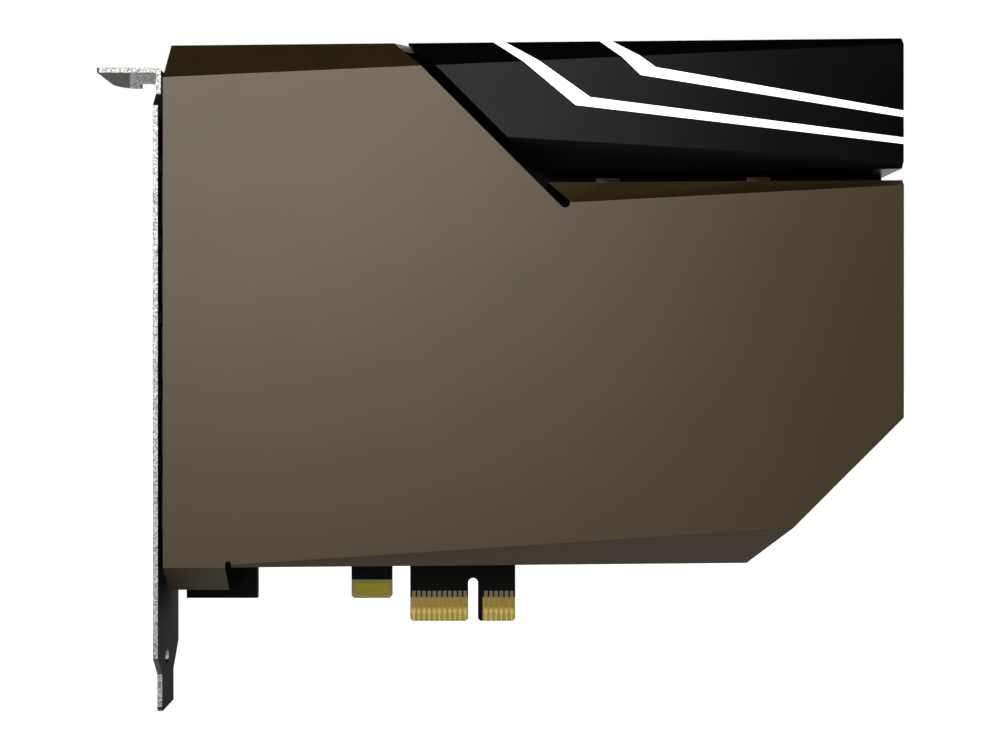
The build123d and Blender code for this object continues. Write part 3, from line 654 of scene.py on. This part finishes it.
def turn_profile(shape, centre, profile, sides, smooth=True):
    """Turn a profile of (radius, height) points about +Y through a centre; radius 0 closes it."""
    rings = []
    for radius, height in profile:
        if radius == 0:
            rings.append([shape.verts.new(centre + Vector((0, height, 0)))])
            continue
        ring = []
        for index in range(sides):
            angle = TURN * index / sides
            away = Vector((radius * cos(angle), height, radius * sin(angle)))
            ring.append(shape.verts.new(centre + away))
        rings.append(ring)
    for lower, upper in zip(rings, rings[1:]):
        for index in range(sides):
            following = (index + 1) % sides
            corners = [lower[index % len(lower)], lower[following % len(lower)]]
            corners += [upper[following % len(upper)], upper[index % len(upper)]]
            corners = list(dict.fromkeys(corners))
            if len(corners) > 2:
                shape.faces.new(corners).smooth = smooth
    return rings


def ribbon(shape, path, width, base_y, height):
    """Raised flat strip along a path of (x, z) points on the board's back."""
    crown_share = 0.7
    sharpest_corner = 0.5
    sections = []
    for index, point in enumerate(path):
        before = path[max(index - 1, 0)]
        after = path[min(index + 1, len(path) - 1)]
        along_in = (point - before).normalized() if index else (after - point).normalized()
        along_out = (after - point).normalized() if index < len(path) - 1 else along_in
        middle = (along_in + along_out).normalized()
        across = Vector((-middle.y, middle.x)) / max(middle.dot(along_in), sharpest_corner)
        foot = across * width / 2
        crown = foot * crown_share
        corners = [(point - foot, 0), (point - crown, height), (point + crown, height), (point + foot, 0)]
        sections.append([shape.verts.new((place.x, base_y + rise, place.y)) for place, rise in corners])
    for first, second in zip(sections, sections[1:]):
        for index in range(3):
            shape.faces.new((first[index], first[index + 1], second[index + 1], second[index]))
        shape.faces.new((first[3], first[0], second[0], second[3]))
    shape.faces.new(sections[0])
    shape.faces.new(reversed(sections[-1]))


def shifted(path, distance):
    """Path moved sideways, with its corners kept sharp."""
    result = []
    for index, point in enumerate(path):
        along_in = (point - path[index - 1]).normalized() if index else (path[1] - point).normalized()
        along_out = (path[index + 1] - point).normalized() if index < len(path) - 1 else along_in
        middle = (along_in + along_out).normalized()
        result.append(point + Vector((-middle.y, middle.x)) * distance / middle.dot(along_in))
    return result


class SOUNDCARD_OT_cover(bpy.types.Operator):
    """Finish the folded main cover"""

    bl_idname = "soundcard.cover"
    bl_label = "Main cover"
    bl_options = {"REGISTER", "UNDO"}

    def execute(self, context):
        finish = context.scene.card_finish
        detail = context.scene.card_detail
        dress(["main_cover"], bronze_material(finish))
        soften(["main_cover"], detail.fold_radius, edge_material=fold_material(), clamped=False)
        return {"FINISHED"}


class SOUNDCARD_OT_panel(bpy.types.Operator):
    """Finish the corner panel and its light bars"""

    bl_idname = "soundcard.panel"
    bl_label = "Corner panel"
    bl_options = {"REGISTER", "UNDO"}

    def execute(self, context):
        finish = context.scene.card_finish
        detail = context.scene.card_detail
        dress(["corner_panel"], panel_material(finish))
        soften(["corner_panel"], detail.moulded_radius)
        dress(["light_bar_lower", "light_bar_upper"], bar_material(finish))
        return {"FINISHED"}


class SOUNDCARD_OT_bracket(bpy.types.Operator):
    """Finish the bracket"""

    bl_idname = "soundcard.bracket"
    bl_label = "Bracket"
    bl_options = {"REGISTER", "UNDO"}

    def execute(self, context):
        finish = context.scene.card_finish
        detail = context.scene.card_detail
        dress(["io_bracket"], bracket_material(finish))
        soften(["io_bracket"], detail.stamped_radius)
        return {"FINISHED"}


class SOUNDCARD_OT_board(bpy.types.Operator):
    """Finish the circuit board, its gold and the leads on its bevelled edge"""

    bl_idname = "soundcard.board"
    bl_label = "Circuit board"
    bl_options = {"REGISTER", "UNDO"}

    def execute(self, context):
        finish = context.scene.card_finish
        dress(["circuit_board"], board_material(finish))
        gold = gold_material(finish)
        dress(["edge_contacts_front", "edge_contacts_back"], gold)
        dress(["ground_pad_front", "ground_pad_back"], ground_material())
        self.add_leads(gold)
        return {"FINISHED"}

    def add_leads(self, gold):
        """Narrow plated strips that run from each contact over the edge's bevel."""
        bevel = 0.4 * MM
        half_width = 0.15 * MM
        plating = 0.03 * MM
        board_low, board_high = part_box("circuit_board")
        shape = bmesh.new()
        for name, face_y, side in (
            ("edge_contacts_front", board_low.y, -1), ("edge_contacts_back", board_high.y, 1)
        ):
            for low, high in solid_boxes(name):
                middle_x = (low.x + high.x) / 2
                route = [(face_y, low.z), (face_y, bevel), (face_y - side * bevel, plating)]
                outer = [(y + side * plating, z - plating / 2) for y, z in route]
                outline = route + outer[::-1]
                left = [shape.verts.new((middle_x - half_width, y, max(z, 0))) for y, z in outline]
                right = [shape.verts.new((middle_x + half_width, y, max(z, 0))) for y, z in outline]
                shape.faces.new(left)
                shape.faces.new(right[::-1])
                for index in range(len(outline)):
                    following = (index + 1) % len(outline)
                    shape.faces.new((left[index], right[index], right[following], left[following]))
        new_piece("edge_leads", shape, gold)


class SOUNDCARD_OT_jacks(bpy.types.Operator):
    """Finish the jacks"""

    bl_idname = "soundcard.jacks"
    bl_label = "Jacks"
    bl_options = {"REGISTER", "UNDO"}

    def execute(self, context):
        detail = context.scene.card_detail
        bodies = [f"jack_body_{number}" for number in JACKS]
        bushings = [f"jack_bushing_{number}" for number in JACKS]
        dress(bodies, plain_material("jack_body", shade(20, 20, 21), 0.45, 0.2))
        dress(bushings, turned_material("jack_bushing", shade(222, 184, 92), (9.0, 0.8, 0.8), 0.26))
        soften(bodies + bushings, detail.moulded_radius)
        return {"FINISHED"}


class SOUNDCARD_OT_fasteners(bpy.types.Operator):
    """Make the screws with their cross recesses and finish posts and nuts"""

    bl_idname = "soundcard.fasteners"
    bl_label = "Screws, posts and nuts"
    bl_options = {"REGISTER", "UNDO"}

    def execute(self, context):
        finish = context.scene.card_finish
        metal = turned_material("screw", finish.steel, (1.2, 6.0, 1.2), 0.3)
        for name in ("cover_screws", "bracket_screws"):
            shape = bmesh.new()
            for low, high in solid_boxes(name):
                self.add_screw(shape, low, high)
            piece = new_piece(f"{name}_cut", shape, metal)
            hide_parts(name)
        dress(["bracket_nuts"], metal)
        brass = turned_material("post", shade(196, 176, 120), (1.0, 8.0, 1.0), 0.32)
        dress(["cover_posts", "panel_posts"], brass)
        return {"FINISHED"}

    def add_screw(self, shape, low, high):
        """Pan head screw in the space of its plain solid."""
        head_radius = (high.x - low.x) / 2
        head_height = 1.5 * MM
        rim = 0.75 * MM
        shaft_radius = 1.25 * MM
        recess_reach = 1.45 * MM
        recess_half = 0.34 * MM
        recess_depth = 0.8 * MM
        recess_taper = 0.72
        recess_margin = 0.25 * MM
        dome_drop = 0.12 * MM
        seat_edge = 0.1 * MM
        crown_degrees = range(22, 91, 17)
        sides = 32
        axis = Vector(((low.x + high.x) / 2, high.y - head_height, (low.z + high.z) / 2))
        shaft_end = low.y - axis.y
        top_radius = recess_reach + recess_margin
        top_y = head_height - dome_drop
        crown = [(top_radius, top_y)]
        for degrees in crown_degrees:
            angle = radians(degrees)
            crown.append((
                head_radius - (head_radius - top_radius) * (1 - sin(angle)),
                rim + (top_y - rim) * cos(angle),
            ))
        profile = crown + [(head_radius, rim), (head_radius, seat_edge), (head_radius - seat_edge, 0)]
        profile += [(shaft_radius, 0), (shaft_radius, shaft_end), (0, shaft_end)]
        rings = turn_profile(shape, axis, profile, sides)
        arm = ((-recess_half, recess_reach), (recess_half, recess_reach), (recess_half, recess_half))
        cross = []
        for quarter in range(4):
            angle = -quarter * TURN / 4
            for across, along in arm:
                x = across * cos(angle) - along * sin(angle)
                z = across * sin(angle) + along * cos(angle)
                cross.append(shape.verts.new(axis + Vector((x, top_y, z))))
        floor = []
        for corner in cross:
            away = (corner.co - axis) * recess_taper
            floor.append(shape.verts.new(axis + Vector((away.x, top_y - recess_depth, away.z))))
        edges = []
        for loop in (rings[0], cross):
            for index, corner in enumerate(loop):
                pair = (corner, loop[(index + 1) % len(loop)])
                edges.append(shape.edges.get(pair) or shape.edges.new(pair))
        bmesh.ops.triangle_fill(shape, edges=edges, use_beauty=True, normal=(0, 1, 0))
        for index in range(len(cross)):
            following = (index + 1) % len(cross)
            shape.faces.new((cross[index], cross[following], floor[following], floor[index]))
        shape.faces.new(floor)


class SOUNDCARD_OT_parts(bpy.types.Operator):
    """Finish the parts on the board under the cover"""

    bl_idname = "soundcard.parts"
    bl_label = "Parts on the board"
    bl_options = {"REGISTER", "UNDO"}

    def execute(self, context):
        detail = context.scene.card_detail
        chips = ["audio_processor", "converter_chip", "amplifier_chips", "output_transistors", "regulators"]
        dress(chips, plain_material("chip", shade(24, 24, 25), 0.5, 0.15))
        metal = plain_material("can", shade(186, 188, 190), 0.32, 0.3, metallic=1.0)
        dress(["electrolytic_capacitors", "crystal"], metal)
        dress(["film_capacitors"], plain_material("film", shade(140, 34, 26), 0.38, 0.4))
        dress(["relays"], plain_material("relay", shade(226, 222, 208), 0.42, 0.25))
        ferrite = plain_material("ferrite", shade(52, 50, 48), 0.55, 0.12, spread=0.15)
        dress(["chokes", "small_parts"], ferrite)
        dress(["light_emitters"], plain_material("emitter", shade(238, 226, 170), 0.4, 0.3))
        soften(chips + ["relays", "film_capacitors", "electrolytic_capacitors"], detail.moulded_radius)
        return {"FINISHED"}


class SOUNDCARD_OT_solder(bpy.types.Operator):
    """Add the solder joints on the back of the board"""

    bl_idname = "soundcard.solder"
    bl_label = "Solder joints"
    bl_options = {"REGISTER", "UNDO"}
    fillet = ((0.78, 0.16), (0.55, 0.42), (0.42, 0.72), (0.34, 0.92), (0.2, 1.0), (0, 1.0))

    def execute(self, context):
        finish = context.scene.card_finish
        detail = context.scene.card_detail
        foot_height = 0.03 * MM
        scatter = 0.06
        sides = 20
        back_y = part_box("circuit_board")[1].y
        tin = plain_material("solder", tuple(finish.tin), 0.24, 0.35, metallic=1.0, height_mm=0.01)
        shape = bmesh.new()
        chance = random.Random(7)
        for x, z in self.pins():
            scale = 1.0 + chance.uniform(-scatter, scatter)
            radius = detail.joint_radius * scale
            height = detail.joint_height * scale
            profile = [(0, 0), (radius, 0), (radius, foot_height)]
            profile += [(radius * across, height * up) for across, up in self.fillet]
            turn_profile(shape, Vector((x, back_y, z)), profile, sides)
        new_piece("solder_joints", shape, tin)
        return {"FINISHED"}

    def pins(self):
        """Places where leads come through the board."""
        places = []
        for number in JACKS:
            low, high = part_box(f"jack_body_{number}")
            middle_z = (low.z + high.z) / 2
            for share, rise_mm in ((0.26, 0.0), (0.48, 3.3), (0.48, -3.3), (0.82, 3.3), (0.82, -3.3)):
                places.append((low.x + share * (high.x - low.x), middle_z + rise_mm * MM))
        for name, pitch_mm, count, rows_mm in (
            ("film_capacitors", 5.0, 2, (0.0,)),
            ("relays", 2.2, 4, (-1.2, 2.6)),
            ("output_transistors", 2.28, 3, (0.0,)),
            ("crystal", 4.88, 2, (0.0,)),
        ):
            shifts = [pitch_mm * MM * (index - (count - 1) / 2) for index in range(count)]
            for low, high in solid_boxes(name):
                middle = (low + high) / 2
                for row_mm in rows_mm:
                    places += [(middle.x + shift, middle.z + row_mm * MM) for shift in shifts]
        return places


class SOUNDCARD_OT_traces(bpy.types.Operator):
    """Add the copper fills, traces, vias and lands on the back of the board"""

    bl_idname = "soundcard.traces"
    bl_label = "Traces and vias"
    bl_options = {"REGISTER", "UNDO"}

    def execute(self, context):
        finish = context.scene.card_finish
        detail = context.scene.card_detail
        screw_clearance = 5.0 * MM
        land_gap, land_width = 0.05 * MM, 0.9 * MM
        pad_radius = 0.55 * MM
        pad_columns_mm, pad_row_mm = range(20, 32, 3), 58.0
        fill_height = detail.trace_height / 2
        back_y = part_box("circuit_board")[1].y
        lacquer = plain_material("trace", shade(40, 38, 35), 0.3, 0.3, spread=0.1, height_mm=0.003)
        filled = plain_material("copper_fill", shade(19, 18, 16), 0.34, 0.5, spread=0.12, height_mm=0.003)
        tin = plain_material("land", tuple(finish.tin), 0.3, 0.25, metallic=1.0)
        traces = bmesh.new()
        vias = bmesh.new()
        for points, count in self.bundles():
            path = [Vector(point) * MM for point in points]
            for index in range(count):
                lane = shifted(path, detail.trace_pitch * (index - (count - 1) / 2))
                ribbon(traces, lane, detail.trace_width, back_y, detail.trace_height)
                self.add_via(vias, lane[0], back_y)
                self.add_via(vias, lane[-1], back_y)
        heads = solid_boxes("cover_screws") + solid_boxes("bracket_screws")
        screws = [Vector((low.x + high.x, low.z + high.z)) / 2 for low, high in heads]
        for place in self.stitches():
            if all((place - screw).length > screw_clearance for screw in screws):
                self.add_via(vias, place, back_y)
        fills = bmesh.new()
        for corners in self.fills():
            self.add_fill(fills, corners, back_y, fill_height)
        lands = bmesh.new()
        for low, high in solid_boxes("cover_screws"):
            middle = (low + high) / 2
            inner = (high.x - low.x) / 2 + land_gap
            self.add_land(lands, Vector((middle.x, back_y, middle.z)), inner, land_width)
        for x_mm in pad_columns_mm:
            self.add_land(lands, Vector((x_mm * MM, back_y, pad_row_mm * MM)), 0.0, pad_radius)
        new_piece("traces", traces, lacquer)
        new_piece("vias", vias, lacquer)
        new_piece("copper_fills", fills, filled)
        new_piece("lands", lands, tin)
        return {"FINISHED"}

    def add_via(self, shape, place, back_y):
        """Lacquered ring with a sunk middle."""
        sides = 12
        profile_mm = [(0, 0), (0.34, 0), (0.3, 0.05), (0.15, 0.05), (0.12, 0.02), (0, 0.02)]
        profile = [(radius * MM, height * MM) for radius, height in profile_mm]
        turn_profile(shape, Vector((place.x, back_y, place.y)), profile, sides)

    def add_land(self, shape, centre, inner, width):
        """Tinned ring, or a round pad where its inner radius is nothing."""
        height = 0.04 * MM
        sides = 40
        outer = inner + width
        profile = [(inner, 0), (outer, 0), (outer - height, height), (inner, height)]
        if inner:
            profile.append((inner, 0))
        turn_profile(shape, centre, profile, sides, smooth=False)

    def add_fill(self, shape, corners, back_y, height):
        """Flat patch of lacquered copper."""
        loops = []
        for y in (back_y, back_y + height):
            loops.append([shape.verts.new((x * MM, y, z * MM)) for x, z in corners])
        for index in range(len(corners)):
            following = (index + 1) % len(corners)
            shape.faces.new((loops[0][index], loops[0][following], loops[1][following], loops[1][index]))
        for loop in loops:
            shape.faces.new(loop)

    def bundles(self):
        """Middle line and number of traces of each bundle, in millimetres on the board."""
        return [
            ([(-6.0, 7.5), (-6.0, 22.0), (8.0, 36.0), (14.0, 36.0)], 7),
            ([(5.0, 7.5), (5.0, 18.0), (18.4, 31.4), (18.4, 38.0)], 4),
            ([(24.0, 46.0), (40.0, 46.0), (58.0, 64.0), (72.0, 64.0)], 6),
            ([(24.0, 52.0), (34.0, 52.0), (46.0, 64.0), (46.0, 93.0)], 5),
            ([(-40.0, 31.2), (-28.0, 31.2), (-20.0, 39.2), (-20.0, 51.0)], 5),
            ([(-40.0, 58.0), (-28.0, 58.0), (-24.5, 54.5), (-19.0, 54.5)], 4),
            ([(-40.0, 84.0), (-22.0, 84.0), (-4.6, 66.6), (8.0, 66.6)], 5),
            ([(14.0, 60.0), (14.0, 78.0), (34.0, 98.0), (68.0, 98.0)], 4),
            ([(-46.0, 100.0), (-10.0, 100.0), (2.0, 88.0), (20.0, 88.0)], 3),
            ([(30.0, 30.0), (46.0, 30.0), (52.0, 36.0), (66.0, 36.0)], 4),
        ]

    def fills(self):
        """Corners of each copper fill, in millimetres on the board."""
        return [
            [(18.0, 66.0), (42.5, 66.0), (42.5, 95.0), (37.0, 95.0), (18.0, 76.0)],
            [(50.0, 68.0), (75.5, 68.0), (75.5, 94.0), (50.0, 94.0)],
            [(24.0, 16.5), (48.0, 16.5), (62.5, 31.0), (52.0, 31.0), (48.0, 27.0), (24.0, 27.0)],
            [
                (-38.0, 88.0), (-20.5, 88.0), (-2.5, 70.0), (6.0, 70.0), (6.0, 81.0), (-10.0, 97.0),
                (-38.0, 97.0),
            ],
            [(-26.0, 16.5), (-10.5, 16.5), (-10.5, 24.5), (1.5, 36.5), (-16.5, 36.5), (-25.5, 27.5)],
        ]

    def stitches(self):
        """Places of the vias that follow the board's edge."""
        step = 4.0 * MM
        lines_mm = [
            ((-52.0, 108.0), (77.2, 108.0)),
            ((77.2, 108.0), (77.2, 41.0)),
            ((77.2, 41.0), (50.6, 14.4)),
            ((50.6, 14.4), (12.0, 14.4)),
            ((-12.0, 14.4), (-30.0, 14.4)),
        ]
        places = []
        for start, end in lines_mm:
            first = Vector(start) * MM
            run = Vector(end) * MM - first
            count = int(run.length / step)
            places += [first + run * index / count for index in range(count)]
        return places


class SOUNDCARD_OT_stage(bpy.types.Operator):
    """Set up the floor, the lamps, the white surround and the camera"""

    bl_idname = "soundcard.stage"
    bl_label = "Stage"
    bl_options = {"REGISTER", "UNDO"}

    def execute(self, context):
        scene = context.scene
        stage = scene.card_stage
        scene.view_settings.view_transform = "Standard"
        self.add_floor()
        self.add_world(stage)
        tall, square = (0.41, 0.49), (0.4, 0.4)
        self.add_lamp("key_lamp", stage.key_power, (-0.105, -0.454, 0.275), tall)
        self.add_lamp("back_lamp", stage.back_power, (0.3, 0.48, 0.27), tall)
        self.add_lamp("left_lamp", stage.side_power, (-0.52, 0.34, 0.2), square)
        self.add_lamp("right_lamp", stage.side_power, (0.7, 0.3, 0.28), square)
        camera = bpy.data.cameras.new("photo_camera")
        camera.sensor_width = 36.0
        camera.lens = stage.lens
        camera.shift_x = stage.shift_x
        camera.shift_y = stage.shift_y
        camera.clip_start = 0.01
        holder = bpy.data.objects.new("photo_camera", camera)
        holder.location = stage.camera_place
        holder.rotation_euler = (pi / 2, 0.0, 0.0)
        scene.collection.objects.link(holder)
        scene.camera = holder
        return {"FINISHED"}

    def add_lamp(self, name, power, place, size):
        """Soft rectangular lamp that looks at the middle of the card."""
        lamp = bpy.data.lights.new(name, "AREA")
        lamp.shape = "RECTANGLE"
        lamp.size, lamp.size_y = size
        lamp.energy = power
        holder = bpy.data.objects.new(name, lamp)
        middle = (Vector(cad_box[0]) + Vector(cad_box[1])) / 2
        holder.location = place
        holder.rotation_euler = (middle - Vector(place)).to_track_quat("-Z", "Y").to_euler()
        holder.visible_camera = False
        bpy.context.scene.collection.objects.link(holder)

    def add_floor(self):
        """Pale floor under the bracket's tip; it shows white to the camera and keeps shadows."""
        reach = 3.0
        gap = 0.05 * MM
        near, far, near_glow = 0.1, 0.5, 0.7
        level = cad_box[0][2] - gap
        mesh = bpy.data.meshes.new("floor")
        corners = [(x * reach, y * reach, level) for x, y in ((-1, -1), (1, -1), (1, 1), (-1, 1))]
        mesh.from_pydata(corners, [], [(0, 1, 2, 3)])
        floor = bpy.data.objects.new("floor", mesh)
        bpy.context.scene.collection.objects.link(floor)
        material, tree, shader = new_material("pale_floor")
        place = add_node(tree, "ShaderNodeTexCoord").outputs["Object"]
        distance = add_node(tree, "ShaderNodeVectorMath", {0: place}, operation="LENGTH").outputs["Value"]
        lift = remap(tree, distance, near, far, near_glow, 1.0)
        path = add_node(tree, "ShaderNodeLightPath")
        set_shader(
            tree, shader, Base_Color=shade(174, 174, 174), Roughness=0.9, Specular_IOR_Level=0.0,
            Emission_Color=lift, Emission_Strength=path.outputs["Is Camera Ray"],
        )
        mesh.materials.append(material)

    def add_world(self, stage):
        """Dim room with a white wall behind the card; the camera sees white everywhere."""
        wall_from, wall_full = 0.7, 0.9
        world = bpy.data.worlds.new("studio")
        world.use_nodes = True
        tree = world.node_tree
        background = tree.nodes["Background"]
        direction = add_node(tree, "ShaderNodeTexCoord").outputs["Generated"]
        along_y = add_node(tree, "ShaderNodeSeparateXYZ", {0: direction}).outputs["Y"]
        wall = remap(tree, along_y, wall_from, wall_full)
        path = add_node(tree, "ShaderNodeLightPath").outputs
        white = calculate(tree, "MULTIPLY", path["Is Glossy Ray"], wall)
        white = calculate(tree, "MAXIMUM", white, path["Is Camera Ray"])
        white = calculate(tree, "MAXIMUM", white, path["Is Transmission Ray"])
        room = calculate(tree, "MULTIPLY", path["Is Diffuse Ray"], stage.room)
        join(tree, background.inputs["Color"], mix_colours(tree, white, room, WHITE))
        bpy.context.scene.world = world


class SOUNDCARD_PT_sidebar(bpy.types.Panel):
    """Sidebar list of the card's pieces and settings"""

    bl_idname = "SOUNDCARD_PT_sidebar"
    bl_label = "Sound Card"
    bl_space_type = "VIEW_3D"
    bl_region_type = "UI"
    bl_category = "Sound Card"

    def draw(self, context):
        column = self.layout.column(align=True)
        for operator in OPERATORS:
            column.operator(operator.bl_idname)
        for group in ("card_finish", "card_detail", "card_stage"):
            settings = getattr(context.scene, group)
            box = self.layout.box()
            for name in settings.__annotations__:
                box.prop(settings, name)


SETTINGS = {"card_finish": CardFinish, "card_detail": CardDetail, "card_stage": CardStage}
OPERATORS = (
    SOUNDCARD_OT_cover, SOUNDCARD_OT_panel, SOUNDCARD_OT_bracket, SOUNDCARD_OT_board,
    SOUNDCARD_OT_jacks, SOUNDCARD_OT_fasteners, SOUNDCARD_OT_parts, SOUNDCARD_OT_solder,
    SOUNDCARD_OT_traces, SOUNDCARD_OT_stage,
)
CLASSES = (*SETTINGS.values(), *OPERATORS, SOUNDCARD_PT_sidebar)


def register():
    """Register the classes and give the scene its settings."""
    for item in CLASSES:
        bpy.utils.register_class(item)
    for name, group in SETTINGS.items():
        setattr(bpy.types.Scene, name, PointerProperty(type=group))


def unregister():
    """Take the settings off the scene and unregister the classes."""
    for name in SETTINGS:
        delattr(bpy.types.Scene, name)
    for item in reversed(CLASSES):
        bpy.utils.unregister_class(item)


def main():
    """Register the add-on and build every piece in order."""
    register()
    bpy.ops.soundcard.cover()
    bpy.ops.soundcard.panel()
    bpy.ops.soundcard.bracket()
    bpy.ops.soundcard.board()
    bpy.ops.soundcard.jacks()
    bpy.ops.soundcard.fasteners()
    bpy.ops.soundcard.parts()
    bpy.ops.soundcard.solder()
    bpy.ops.soundcard.traces()
    bpy.ops.soundcard.stage()


if __name__ == "__main__":
    main()
